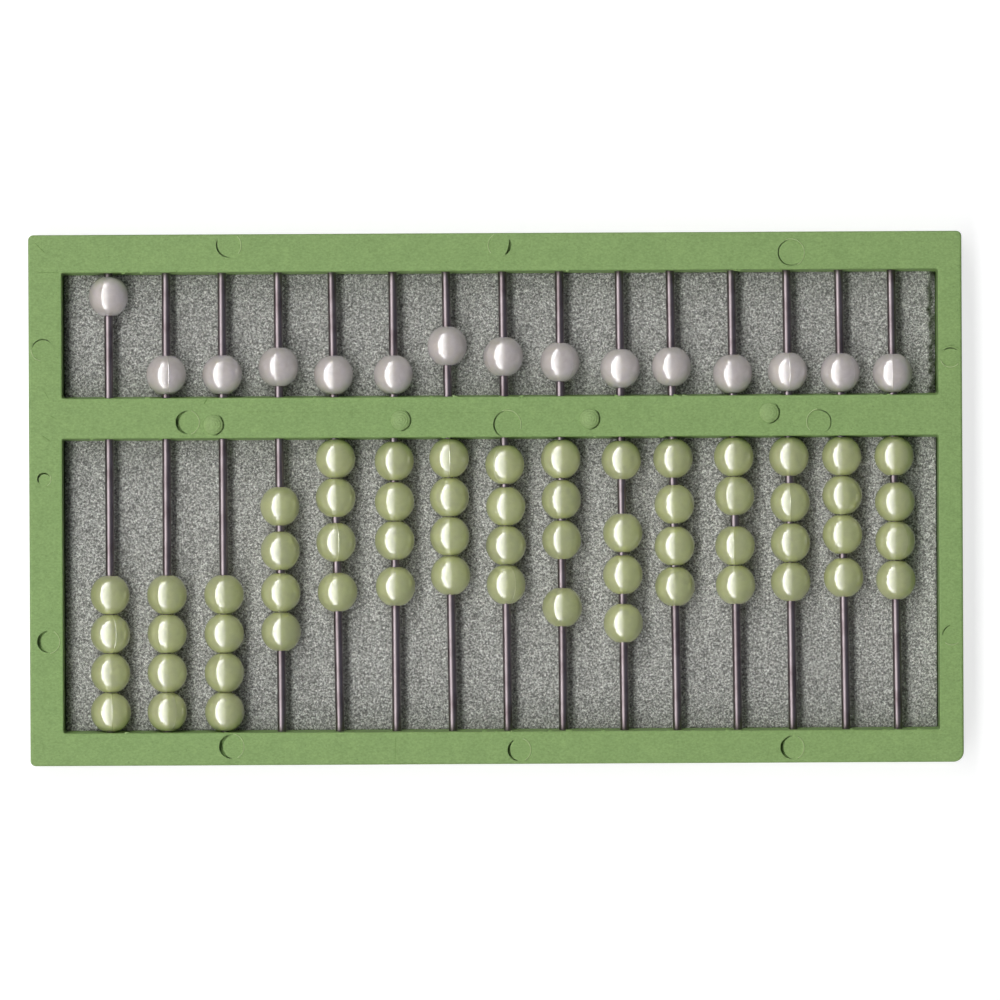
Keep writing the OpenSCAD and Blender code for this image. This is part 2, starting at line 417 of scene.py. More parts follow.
@dataclass(frozen=True)
class PearlLacquer(Finish):
    """Plastic bead dipped in pearl lacquer: flakes with a broad pale sheen, under a clear coat with a gloss.

    The real flakes are far finer than these, which are as coarse as they need to be to show. The high IOR is
    that of the flakes, and the coat's is matched to the photographed highlight.
    """

    light: str
    shade: str
    swirl_size: float = 1.6
    swirl_weight: float = 0.9
    flake_size: float = 0.16
    flake_relief: float = 0.02
    crust_size: float = 0.45
    crust_relief: float = 0.03
    seam_width: float = 0.11
    seam_relief: float = 0.05
    glow_depth: float = 3.5

    def skin(self, tree: Tree) -> Socket:
        """Draw the swirled pearl, the flakes, the crusted lumps and the seam.

        Args:
            tree: Node tree that gets the nodes.

        Returns:
            The shader's output.
        """
        place = add_node(tree, "ShaderNodeTexCoord").outputs["Object"]
        tone = add_node(tree, "ShaderNodeAttribute", {"attribute_name": "tone"})
        swirl = add_node(tree, "ShaderNodeTexNoise", {
            "Scale": pattern_scale(self.swirl_size), "Detail": 3.0, "Distortion": 1.2, "Vector": place,
        })
        mixed = add_node(tree, "ShaderNodeMath", {
            "operation": "MULTIPLY_ADD",
            0: swirl.outputs["Fac"], 1: self.swirl_weight, 2: tone.outputs["Fac"],
        })
        darkness = add_node(tree, "ShaderNodeMapRange", {
            "From Min": 0.25, "From Max": 0.95, "Value": mixed.outputs["Value"],
        })
        colour = add_node(tree, "ShaderNodeMix", {
            "data_type": "RGBA", SHARE: darkness.outputs["Result"],
            FIRST: linear(self.light), SECOND: linear(self.shade),
        })
        flakes = add_node(tree, "ShaderNodeTexNoise", {
            "Scale": pattern_scale(self.flake_size), "Detail": 1.0, "Vector": place,
        })
        flaky = add_node(tree, "ShaderNodeBump", {
            "Strength": 0.3, "Distance": self.flake_relief * MM, "Height": flakes.outputs["Fac"],
        })
        crust = add_node(tree, "ShaderNodeTexNoise", {
            "Scale": pattern_scale(self.crust_size), "Detail": 1.0, "Vector": place,
        })
        lumps = add_node(tree, "ShaderNodeMapRange", {
            "From Min": 0.6, "From Max": 0.75, "Value": crust.outputs["Fac"],
        })
        lumpy = add_node(tree, "ShaderNodeBump", {
            "Strength": 0.5, "Distance": self.crust_relief * MM,
            "Height": lumps.outputs["Result"], "Normal": flaky.outputs["Normal"],
        })
        from_seam = add_node(tree, "ShaderNodeAttribute", {"attribute_name": "from_seam"})
        seam = add_node(tree, "ShaderNodeMapRange", {
            "From Max": self.seam_width, "To Min": 1.0, "To Max": 0.0, "Value": from_seam.outputs["Fac"],
        })
        seamed = add_node(tree, "ShaderNodeBump", {
            "Strength": 1.0, "Distance": self.seam_relief * MM,
            "Height": seam.outputs["Result"], "Normal": lumpy.outputs["Normal"],
        })
        skin = add_node(tree, "ShaderNodeBsdfPrincipled", {
            "Roughness": 0.78,
            "IOR": 2.5,
            "Subsurface Weight": 1.0,
            "Subsurface Radius": (1.0, 1.0, 0.7),
            "Subsurface Scale": self.glow_depth * MM,
            "Coat Weight": 1.0,
            "Coat Roughness": 0.13,
            "Coat IOR": 2.35,
            "Base Color": colour.outputs[MIXED],
            "Normal": seamed.outputs["Normal"],
            "Coat Normal": seamed.outputs["Normal"],
        })
        return skin.outputs["BSDF"]


@dataclass(frozen=True)
class WhitePaper(Finish):
    """White paper for the floor: matt, with a glow of its own where it is seen, so that it stays white."""

    name: str = "white_paper_floor"
    sheet: str = "#E6E6E6"
    glowing_sheet: str = "#A6A6A6"
    glow_strength: float = 0.75

    def skin(self, tree: Tree) -> Socket:
        """Draw plain paper for the light that it throws back, and glowing paper for the eye and for mirrors.

        Args:
            tree: Node tree that gets the nodes.

        Returns:
            The shader's output.
        """
        path = add_node(tree, "ShaderNodeLightPath").outputs
        looked_at = add_node(tree, "ShaderNodeMath", {
            "operation": "MAXIMUM", 0: path["Is Camera Ray"], 1: path["Is Glossy Ray"],
        })
        seen = add_node(tree, "ShaderNodeMath", {
            "operation": "MAXIMUM", 0: looked_at.outputs["Value"], 1: path["Is Transmission Ray"],
        })
        plain = add_node(tree, "ShaderNodeBsdfDiffuse", {"Color": linear(self.sheet)})
        lit = add_node(tree, "ShaderNodeBsdfDiffuse", {"Color": linear(self.glowing_sheet)})
        glow = add_node(tree, "ShaderNodeEmission", {"Strength": self.glow_strength})
        white = add_node(tree, "ShaderNodeAddShader", {0: lit.outputs["BSDF"], 1: glow.outputs["Emission"]})
        surface = add_node(tree, "ShaderNodeMixShader", {
            0: seen.outputs["Value"], 1: plain.outputs["BSDF"], 2: white.outputs["Shader"],
        })
        return surface.outputs["Shader"]


def loose_object(shape: Shape, name: str) -> Piece:
    """Turn a bmesh in millimetres into an object in metres, at the origin, and free the bmesh.

    Args:
        shape: The modelled shape.
        name: Name of the object and its mesh.

    Returns:
        The object, linked to the scene.
    """
    bmesh.ops.scale(shape, verts=shape.verts, vec=(MM, MM, MM))
    mesh = bpy.data.meshes.new(name)
    shape.to_mesh(mesh)
    shape.free()
    made = bpy.data.objects.new(name, mesh)
    bpy.context.scene.collection.objects.link(made)
    return made


def new_verts(grown: dict[str, list]) -> list[Vert]:
    """Vertices that an extrude has just made, from what it returned."""
    return [part for part in grown["geom"] if isinstance(part, Vert)]


def carve(target: Piece, tool: Piece, action: Carve) -> None:
    """Cut a tool's shape out of a target, or join it on, and remove the tool.

    Args:
        target: Object whose mesh changes.
        tool: Object that holds the second shape.
        action: Whether the tool is cut out or joined on.
    """
    step = target.modifiers.new("carve", "BOOLEAN")
    step.operation = action.value
    step.solver = "EXACT"
    step.use_self = True
    step.object = tool
    bpy.context.view_layer.update()
    evaluated = target.evaluated_get(bpy.context.evaluated_depsgraph_get())
    carved = bpy.data.meshes.new_from_object(evaluated)
    target.modifiers.clear()
    target.data = carved
    bpy.data.objects.remove(tool)


def finish_piece(piece: Piece, material: Material, body: str, node: str, crease: float) -> Piece:
    """Give a piece its material, shading, slot and body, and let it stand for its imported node.

    Args:
        piece: The modelled object.
        material: Its finish.
        body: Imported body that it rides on.
        node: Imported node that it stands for.
        crease: Angle in degrees past which an edge stays sharp.

    Returns:
        The same object.
    """
    piece.data.materials.clear()
    piece.data.materials.append(material)
    piece.data.shade_smooth()
    piece.data.set_sharp_from_angle(angle=math.radians(crease))
    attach(piece, body)
    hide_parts(node)
    log.info("%s rides %s and stands for %s, %d faces", piece.name, body, node, len(piece.data.polygons))
    return piece


@dataclass(frozen=True)
class Crescent:
    """Deep gap along part of a round mark's edge: its middle and half its sweep in degrees, and its size."""

    middle: float
    sweep: float
    width: float
    depth: float = 1.6


@dataclass(frozen=True)
class PinMark:
    """Round mark of an ejector pin, with the gap it tore on one side and the burr it raised on another.

    The burr is given by the angles at which it starts and ends.
    """

    x: float
    y: float
    diameter: float
    crescent: Crescent
    burr: tuple[float, float]
    sunk: float = 0.14
    rim_width: float = 0.24


@dataclass(frozen=True)
class Groove:
    """Straight scored line between two points of the face."""

    start: tuple[float, float]
    end: tuple[float, float]
    width: float


@dataclass
class FrameMoulding:
    """The moulded frame: four rails, the counting bar, raised dots, pin marks, drilled holes and flash.

    A pair of sizes is a range that is drawn from. The slivers of flash turn by up to flash_turn in radians.
    """

    rail_top: float = 6.5
    rail_bottom: float = 5.6
    rail_left: float = 5.7
    rail_right: float = 4.1
    bar_width: float = 6.9
    bar_middle: float = 14.0
    wall_lean: float = 3.0
    end_lean: float = 0.5
    corner: float = 0.9
    worn_corner: float = 1.8
    outer_edge: float = 0.4
    back_edge: float = 0.3
    window_corner: float = 0.35
    window_edge: float = 0.26
    pad_room: float = 0.2
    plate_room: float = 0.1
    rod_hole: float = 1.6
    dot_width: float = 3.4
    dot_height: float = 0.7
    dot_rings: int = 4
    ring_height: float = 0.06
    dome_fullness: float = 0.75
    burr_size: float = 0.16
    burr_tip_share: float = 0.3
    # The burrs' paleness is partly stress-whitening and partly a painted highlight; the domes' paleness is
    # only a painted highlight.
    burr_strain_and_highlight: float = 0.6
    dot_painted_highlight: float = 0.14
    nick_count: int = 13
    nick_slant: float = 0.5
    nick_reach: tuple[float, float] = (0.25, 0.6)
    nick_width: tuple[float, float] = (0.12, 0.28)
    nick_inset: float = 3.0
    flash_count: int = 46
    flash_length: tuple[float, float] = (0.25, 0.9)
    flash_width: tuple[float, float] = (0.12, 0.3)
    flash_thickness: float = 0.12
    flash_sunk: float = 0.16
    flash_lift: float = 0.12
    flash_turn: float = 0.25
    flash_inset: float = 2.0
    flash_overhang: float = 0.2
    flash_taper: float = 0.25
    seed: int = 7
    dots: tuple[tuple[float, float], ...] = ((-48.4, 12.9), (-16.3, 13.5), (16.1, 13.6), (46.9, 14.5))
    dot_moat: Crescent = Crescent(345, 80, 0.4, 0.8)
    marks: tuple[PinMark, ...] = (
        PinMark(-45.7, 43.6, 4.1, Crescent(215, 65, 0.28), (-40, 45)),
        PinMark(0.9, 43.4, 3.8, Crescent(345, 50, 0.5), (120, 220)),
        PinMark(50.7, 41.9, 4.4, Crescent(200, 110, 0.18), (-60, 110)),
        PinMark(-52.9, 13.3, 3.9, Crescent(180, 95, 0.65), (-70, 70)),
        PinMark(1.9, 12.7, 4.6, Crescent(175, 75, 0.25), (-20, 110)),
        PinMark(55.5, 12.9, 4.1, Crescent(20, 95, 0.18), (100, 220)),
        PinMark(-45.6, -42.3, 4.1, Crescent(180, 95, 0.7), (-60, 80)),
        PinMark(3.7, -43.1, 3.8, Crescent(190, 75, 0.45), (-60, 70)),
        PinMark(50.5, -42.9, 3.9, Crescent(180, 90, 0.55), (-60, 60)),
        PinMark(-77.6, 25.9, 3.6, Crescent(100, 70, 0.2), (180, 260)),
        PinMark(-77.5, 3.7, 2.2, Crescent(130, 100, 0.35), (-60, 30)),
        PinMark(-76.9, -24.2, 3.7, Crescent(180, 90, 0.7), (-80, 60)),
        PinMark(78.0, 23.9, 3.2, Crescent(90, 50, 0.18), (200, 320)),
        PinMark(78.0, -23.7, 3.2, Crescent(140, 45, 0.2), (230, 310)),
    )
    grooves: tuple[Groove, ...] = (
        Groove((-44.0, 15.1), (-19.0, 14.9), 0.06),
        Groove((-13.0, 14.9), (13.0, 14.6), 0.06),
        Groove((-78.8, 44.2), (-77.2, 42.6), 0.12),
        Groove((-77.2, 18.6), (-76.4, 17.2), 0.12),
        Groove((-76.4, 14.6), (-75.2, 14.0), 0.12),
        Groove((-77.8, 11.2), (-76.2, 10.2), 0.12),
        Groove((-17.4, -40.8), (-17.5, -45.0), 0.1),
        Groove((-78.4, 39.2), (-74.7, 39.1), 0.12),
        Groove((76.7, 25.5), (78.2, 25.9), 0.15),
        Groove((78.2, 25.9), (79.5, 25.4), 0.15),
        Groove((-49.2, 17.6), (-49.9, 16.5), 0.25),
        Groove((-62.6, 39.0), (-63.0, 39.7), 0.2),
    )

    def __post_init__(self) -> None:
        """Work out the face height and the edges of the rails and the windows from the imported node."""
        self.low, self.high = box_mm("frame")
        self.face = self.high.z - self.dot_height
        half_bar = self.bar_width / 2
        self.columns = (
            self.low.x,
            self.low.x + self.rail_left,
            self.high.x - self.rail_right,
            self.high.x,
        )
        self.rows = (
            self.low.y,
            self.low.y + self.rail_bottom,
            self.bar_middle - half_bar,
            self.bar_middle + half_bar,
            self.high.y - self.rail_top,
            self.high.y,
        )

    def build(self, material: Material) -> Piece:
        """Model the frame and put it on its body.

        Args:
            material: Finish of the moulding.

        Returns:
            The dressed frame.
        """
        piece = loose_object(self.rail_block(), "frame_moulding")
        for node, room in (("foam_pad", self.pad_room), ("back_plate", self.plate_room)):
            carve(piece, loose_object(self.back_pocket(*box_mm(node), room), "pocket"), Carve.CUT)
        carve(piece, loose_object(self.cutters(), "cutters"), Carve.CUT)
        carve(piece, loose_object(self.raised_dots(), "dots"), Carve.JOIN)
        carve(piece, loose_object(self.flash(), "flash"), Carve.JOIN)
        carve(piece, loose_object(self.burrs(), "burrs"), Carve.JOIN)
        self.pale_and_highlight(piece)
        even = piece.modifiers.new("even_shading", "WEIGHTED_NORMAL")
        even.keep_sharp = True
        return finish_piece(piece, material, "frame", "frame", crease=38)

    def is_window(self, point: Vector) -> bool:
        """Tell whether a point of the face lies over one of the two windows."""
        across = self.columns[1] < point.x < self.columns[2]
        return across and (self.rows[1] < point.y < self.rows[2] or self.rows[3] < point.y < self.rows[4])

    def rail_block(self) -> Shape:
        """Model the rails and the bar as one block with two leaning windows and rounded edges.

        Returns:
            The block, in millimetres.
        """
        shape = bmesh.new()
        spans = (len(self.columns) - 1, len(self.rows) - 1)
        bmesh.ops.create_grid(shape, x_segments=spans[0], y_segments=spans[1], size=0.5)
        for vert in shape.verts:
            column = round((vert.co.x + 0.5) * spans[0])
            row = round((vert.co.y + 0.5) * spans[1])
            vert.co = (self.columns[column], self.rows[row], self.face)
        windows = [f for f in shape.faces if self.is_window(f.calc_center_median())]
        bmesh.ops.delete(shape, geom=windows, context="FACES")
        grown = bmesh.ops.extrude_face_region(shape, geom=list(shape.faces), use_keep_orig=True)
        lower = new_verts(grown)
        bmesh.ops.translate(shape, verts=lower, vec=(0, 0, -self.face))
        self.lean_walls(lower)
        bmesh.ops.recalc_face_normals(shape, faces=shape.faces)
        self.round_edges(shape)
        return shape

    def lean_walls(self, lower: list[Vert]) -> None:
        """Move the windows' lower corners inwards, for the draft that lets a mould open.

        Args:
            lower: Vertices of the back.
        """
        run = self.face * math.tan(math.radians(self.wall_lean))
        end_run = self.face * math.tan(math.radians(self.end_lean))
        inward_x = {self.columns[1]: end_run, self.columns[2]: -end_run}
        inward_y = {self.rows[1]: run, self.rows[2]: -run, self.rows[3]: run, self.rows[4]: -run}
        near = 0.001
        for vert in lower:
            step_x = sum(s for x, s in inward_x.items() if abs(vert.co.x - x) < near)
            step_y = sum(s for y, s in inward_y.items() if abs(vert.co.y - y) < near)
            if step_x and step_y:
                vert.co += Vector((step_x, step_y, 0))

    def round_edges(self, shape: Shape) -> None:
        """Round the outer corners, the windows' corners and the edges of the face and the back.

        Args:
            shape: The block with sharp edges.
        """
        sharp = math.radians(60)
        margin = 1.0
        near = 0.01

        def upright(edge: Edge) -> bool:
            """Tell whether an edge runs from the back to the face."""
            return abs(edge.verts[0].co.z - edge.verts[1].co.z) > self.face / 2

        def outside(vert: Vert) -> bool:
            """Tell whether a vertex lies outside both windows' outlines.

            Args:
                vert: A vertex of the block.

            Returns:
                True on the block's outer sides.
            """
            in_x = self.columns[1] - margin < vert.co.x < self.columns[2] + margin
            in_y = self.rows[1] - margin < vert.co.y < self.rows[4] + margin
            return not (in_x and in_y)

        def sharp_edges() -> list[Edge]:
            """Edges whose two faces meet at a sharp angle."""
            return [e for e in shape.edges if e.calc_face_angle(0.0) > sharp]

        def rims(level: float) -> list[Edge]:
            """Sharp edges that lie flat at a level."""
            return [e for e in sharp_edges() if all(abs(v.co.z - level) < near for v in e.verts)]

        def bevel(edges: list[Edge], radius: float, segments: int) -> None:
            """Round edges to a radius."""
            bmesh.ops.bevel(
                shape, geom=edges, offset=radius, offset_type="OFFSET", affect="EDGES",
                segments=segments, profile=0.5, material=-1, clamp_overlap=True,
            )

        posts = [e for e in sharp_edges() if upright(e)]
        right = [e for e in posts if e.verts[0].co.x > self.columns[2] + margin]
        worn = [e for e in right if e.verts[0].co.y < self.rows[1] - margin]
        inner = [e for e in posts if not outside(e.verts[0])]
        plain = [e for e in posts if e not in worn and e not in inner]
        bevel(worn, self.worn_corner, segments=7)
        bevel(plain, self.corner, segments=5)
        bevel(inner, self.window_corner, segments=3)
        bevel([e for e in rims(self.face) if outside(e.verts[0])], self.outer_edge, segments=4)
        bevel([e for e in rims(self.face) if not outside(e.verts[0])], self.window_edge, segments=3)
        bevel([e for e in rims(0) if outside(e.verts[0])], self.back_edge, segments=2)

    def back_pocket(self, low: Vector, high: Vector, room: float) -> Shape:
        """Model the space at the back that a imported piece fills.

        Args:
            low: Lowest corner of the piece.
            high: Highest corner of the piece.
            room: Clearance round the piece.

        Returns:
            A block that runs out through the back.
        """
        shape = bmesh.new()
        bmesh.ops.create_cube(shape, size=1)
        size = high - low
        below = 1.0
        bmesh.ops.scale(shape, verts=shape.verts, vec=(size.x + 2 * room, size.y + 2 * room, high.z + below))
        bmesh.ops.translate(
            shape, verts=shape.verts, vec=((low.x + high.x) / 2, (low.y + high.y) / 2, (high.z - below) / 2),
        )
        return shape

    def cutters(self) -> Shape:
        """Model what is cut from the moulding: rod holes, pin marks, gaps, scored lines and nicks.

        Returns:
            All the cutting shapes, in millimetres.
        """
        shape = bmesh.new()
        foot = box_mm("rods")[0].y
        above = 1.0
        overlap = 0.02
        for line in rod_lines():
            line.add_cylinder(shape, self.rod_hole, foot, self.high.y + above, sides=28)
        for mark in self.marks:
            flat = mark.diameter / 2 - mark.rim_width
            spot = Matrix.Translation((mark.x, mark.y, self.face - mark.sunk + above / 2))
            bmesh.ops.create_cone(
                shape, cap_ends=True, segments=48, depth=above, matrix=spot,
                radius1=flat, radius2=flat + above * mark.rim_width / mark.sunk,
            )
            self.add_crescent(shape, mark.x, mark.y, mark.diameter / 2 + overlap, mark.crescent)
        for x, y in self.dots:
            self.add_crescent(shape, x, y, self.dot_width / 2 + self.dot_moat.width / 2, self.dot_moat)
        for groove in (*self.grooves, *self.nicks()):
            self.add_groove(shape, groove)
        bmesh.ops.remove_doubles(shape, verts=shape.verts, dist=MERGE_DISTANCE)
        bmesh.ops.recalc_face_normals(shape, faces=shape.faces)
        return shape

    def nicks(self) -> list[Groove]:
        """Draw the short slanted nicks that a blade left across the windows' edges.

        Returns:
            One scored line for each nick.
        """
        draw = random.Random(self.seed)
        made = []
        for _ in range(self.nick_count):
            x = draw.uniform(self.columns[1] + self.nick_inset, self.columns[2] - self.nick_inset)
            y = draw.choice(self.rows[1:5])
            slant, reach = draw.uniform(-self.nick_slant, self.nick_slant), draw.uniform(*self.nick_reach)
            width = draw.uniform(*self.nick_width)
            made.append(Groove((x - slant, y - reach), (x + slant, y + reach), width))
        return made

    def add_crescent(self, shape: Shape, x: float, y: float, radius: float, crescent: Crescent) -> None:
        """Add the cutter of a gap that is widest in its middle and runs out along a circle.

        Args:
            shape: Bmesh that gets the cutter.
            x: Middle of the circle.
            y: Middle of the circle.
            radius: Radius of the circle, which is the gap's outer side.
            crescent: The gap.
        """
        steps = 24
        least = 0.06
        above = 0.3
        outer, inner = [], []
        for i in range(steps + 1):
            along = 2 * i / steps - 1
            angle = math.radians(crescent.middle + along * crescent.sweep)
            out = Vector((math.cos(angle), math.sin(angle), 0))
            bite = crescent.width * max(1 - along * along, least)
            outer.append(out * radius)
            inner.append(out * (radius - bite))
        floor = Vector((x, y, self.face - crescent.depth))
        base = shape.faces.new([shape.verts.new(floor + p) for p in outer + inner[::-1]])
        grown = bmesh.ops.extrude_face_region(shape, geom=[base], use_keep_orig=True)
        bmesh.ops.translate(shape, verts=new_verts(grown), vec=(0, 0, crescent.depth + above))

    def burrs(self) -> Shape:
        """Model the low burrs that the ejector pins raised beside their marks.

        Returns:
            Bent ribs, rooted below the face.
        """
        shape = bmesh.new()
        size = self.burr_size
        tip = self.burr_tip_share * size
        corners = ((-size, -size), (size, -size), (tip, size), (-tip, size))
        for mark in self.marks:
            start, end = [math.radians(a) for a in mark.burr]
            out = mark.diameter / 2 + size
            verts = [shape.verts.new((mark.x + out + dx, mark.y, self.face + dz)) for dx, dz in corners]
            edges = [shape.edges.new((verts[i - 1], verts[i])) for i in range(len(verts))]
            middle = (mark.x, mark.y, 0)
            bmesh.ops.rotate(shape, verts=verts, cent=middle, matrix=Matrix.Rotation(start, 3, "Z"))
            bmesh.ops.spin(
                shape, geom=verts + edges, cent=middle, axis=(0, 0, 1), angle=end - start,
                steps=18, use_merge=False,
            )
        bmesh.ops.holes_fill(shape, edges=[e for e in shape.edges if e.is_boundary], sides=len(corners))
        bmesh.ops.recalc_face_normals(shape, faces=shape.faces)
        return shape

    def pale_and_highlight(self, piece: Piece) -> None:
        """Store where the plastic is painted paler: on the burrs, for stress-whitening and a painted
        highlight, and faintly on the dots, as a painted highlight.

        Args:
            piece: The finished moulding.
        """
        layer = piece.data.attributes.new("strain_and_highlight", "FLOAT", "POINT")
        least_rise = 0.05
        for vert in piece.data.vertices:
            x, y, z = vert.co / MM
            if z > self.face + least_rise:
                away = min(math.hypot(x - dot_x, y - dot_y) for dot_x, dot_y in self.dots)
                on_dot = away < self.dot_width / 2
                # Painted highlight on the domes; on the burrs, stress-whitening and a painted highlight.
                layer.data[vert.index].value = self.dot_painted_highlight if on_dot else self.burr_strain_and_highlight

    def add_groove(self, shape: Shape, groove: Groove) -> None:
        """Add the wedge that scores one line into the face.

        Args:
            shape: Bmesh that gets the cutter.
            groove: The line.
        """
        start, end = Vector((*groove.start, self.face)), Vector((*groove.end, self.face))
        run = end - start
        heading = Matrix.Rotation(math.atan2(run.y, run.x), 4, "Z")
        # A square bar that stands on its corner has sides of about this share of its width.
        side_share = 0.7
        side = groove.width * side_share
        size = Matrix.Diagonal((run.length, side, side, 1))
        wedge = Matrix.Rotation(math.radians(45), 4, "X")
        middle = Matrix.Translation((start + end) / 2)
        bmesh.ops.create_cube(shape, size=1, matrix=middle @ heading @ wedge @ size)

    def raised_dots(self) -> Shape:
        """Model the four domes on the bar, with the rings that the mould's cutter turned.

        Returns:
            The domes, rooted below the face.
        """
        shape = bmesh.new()
        steps = 40
        root = 0.4
        half = self.dot_width / 2
        for x, y in self.dots:
            profile = [(0.0, -root), (half, -root)]
            for i in range(steps + 1):
                out = half * (1 - i / steps)
                dome = self.dot_height * (1 - (out / half) ** 2) ** self.dome_fullness
                ring = self.ring_height * math.sin(math.tau * self.dot_rings * out / half)
                profile.append((out, dome - max(ring, 0)))
            verts = [shape.verts.new((x + out, y, self.face + up)) for out, up in profile]
            edges = [shape.edges.new(verts[i:i + 2]) for i in range(len(verts) - 1)]
            bmesh.ops.spin(
                shape, geom=verts + edges, cent=(x, y, 0), axis=(0, 0, 1), angle=math.tau,
                steps=40, use_merge=True,
            )
        bmesh.ops.remove_doubles(shape, verts=shape.verts, dist=MERGE_DISTANCE)
        bmesh.ops.recalc_face_normals(shape, faces=shape.faces)
        return shape

    def flash(self) -> Shape:
        """Model the slivers of flash that were never trimmed from the windows' edges.

        Returns:
            Small wedges along the edges.
        """
        shape = bmesh.new()
        draw = random.Random(self.seed)
        left, right = self.columns[1], self.columns[2]
        for _ in range(self.flash_count):
            level = draw.choice(self.rows[1:5])
            inward = 1 if level in (self.rows[1], self.rows[3]) else -1
            x = draw.uniform(left + self.flash_inset, right - self.flash_inset)
            length = draw.uniform(*self.flash_length)
            width = draw.uniform(*self.flash_width)
            height = self.face - self.flash_sunk + draw.uniform(0.0, self.flash_lift)
            turn = Matrix.Rotation(draw.uniform(-self.flash_turn, self.flash_turn), 4, "Z")
            lying = Matrix.Rotation(math.radians(90), 4, "Y")
            spot = Matrix.Translation((x, level + inward * width * self.flash_overhang, height))
            size = Matrix.Diagonal((self.flash_thickness, width, length, 1))
            bmesh.ops.create_cone(
                shape, cap_ends=True, segments=5, radius1=1.0, radius2=self.flash_taper, depth=1.0,
                matrix=spot @ turn @ lying @ size,
            )
        return shape


@dataclass(frozen=True)
class BeadSeat:
    """Where one packed bead sits, and how long it is along its rod."""

    centre: Vector
    length: float


@dataclass(frozen=True)
class RodLine:
    """Axis of one rod, which leans a little because its holes were drilled by hand."""

    point: Vector
    heading: Vector

    @property
    def lean(self) -> float:
        """Turn of the rod from upright, in radians."""
        return math.atan2(-self.heading.x, self.heading.y)

    def place(self, y: float) -> Matrix:
        """Lay a shape's Z axis along the rod.

        Args:
            y: Where the shape's middle comes to lie.

        Returns:
            The matrix that turns and moves the shape.
        """
        spot = self.point + self.heading * ((y - self.point.y) / self.heading.y)
        turn = Matrix.Rotation(self.lean, 4, "Z") @ Matrix.Rotation(math.radians(-90), 4, "X")
        return Matrix.Translation(spot) @ turn

    def add_cylinder(self, shape: Shape, diameter: float, start: float, end: float, sides: int) -> None:
        """Add a cylinder along the rod's axis.

        Args:
            shape: Bmesh that gets the cylinder.
            diameter: Its diameter.
            start: Y of its lower end.
            end: Y of its upper end.
            sides: Number of its sides.
        """
        bmesh.ops.create_cone(
            shape, cap_ends=True, segments=sides, radius1=diameter / 2, radius2=diameter / 2,
            depth=end - start, matrix=self.place((start + end) / 2),
        )


@cache
def bead_seats(node: str) -> list[BeadSeat]:
    """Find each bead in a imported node.

    Only a bore's two rims lie near the rod's axis, so their points come in pairs of rings, one pair a bead.

    Args:
        node: Name of a node of beads.

    Returns:
        The beads' seats, from the lowest up.
    """
    rim_share = 0.31
    ring_step = 0.05
    low, high = box_mm(node)
    axis = (low + high) / 2
    near_axis = rim_share * (high.z - low.z) / 2
    points = [vert.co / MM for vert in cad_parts[node].data.vertices]
    points = [p for p in points if math.hypot(p.x - axis.x, p.z - axis.z) < near_axis]
    points.sort(key=lambda p: p.y)
    rings: list[list[Vector]] = []
    for point in points:
        if not rings or point.y - rings[-1][-1].y > ring_step:
            rings.append([])
        rings[-1].append(point)
    middles = [
        Vector([(min(p[i] for p in ring) + max(p[i] for p in ring)) / 2 for i in range(3)]) for ring in rings
    ]
    return [BeadSeat((a + b) / 2, (b - a).length) for a, b in zip(middles[::2], middles[1::2])]


@cache
def rod_lines() -> list[RodLine]:
    """Find each rod's axis, through its lowest bead and its upper bead.

    Returns:
        The axes, from left to right.
    """
    lines = []
    for node in sorted(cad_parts):
        if node.startswith("upper_bead_"):
            label = node.removeprefix("upper_bead_")
            foot = bead_seats(f"lower_beads_{label}_near_rail")[0].centre
            head = bead_seats(node)[0].centre
            lines.append(RodLine(head, (head - foot).normalized()))
    return lines


@dataclass
class BackPlate:
    """The plate let into the back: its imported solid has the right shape, so it only gets the finish."""

    def build(self, material: Material) -> Piece:
        """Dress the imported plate.

        Args:
            material: Finish of the plate.

        Returns:
            The dressed plate.
        """
        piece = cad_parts["back_plate"]
        piece.data.materials.clear()
        piece.data.materials.append(material)
        log.info("back_plate keeps its packed shape")
        return piece


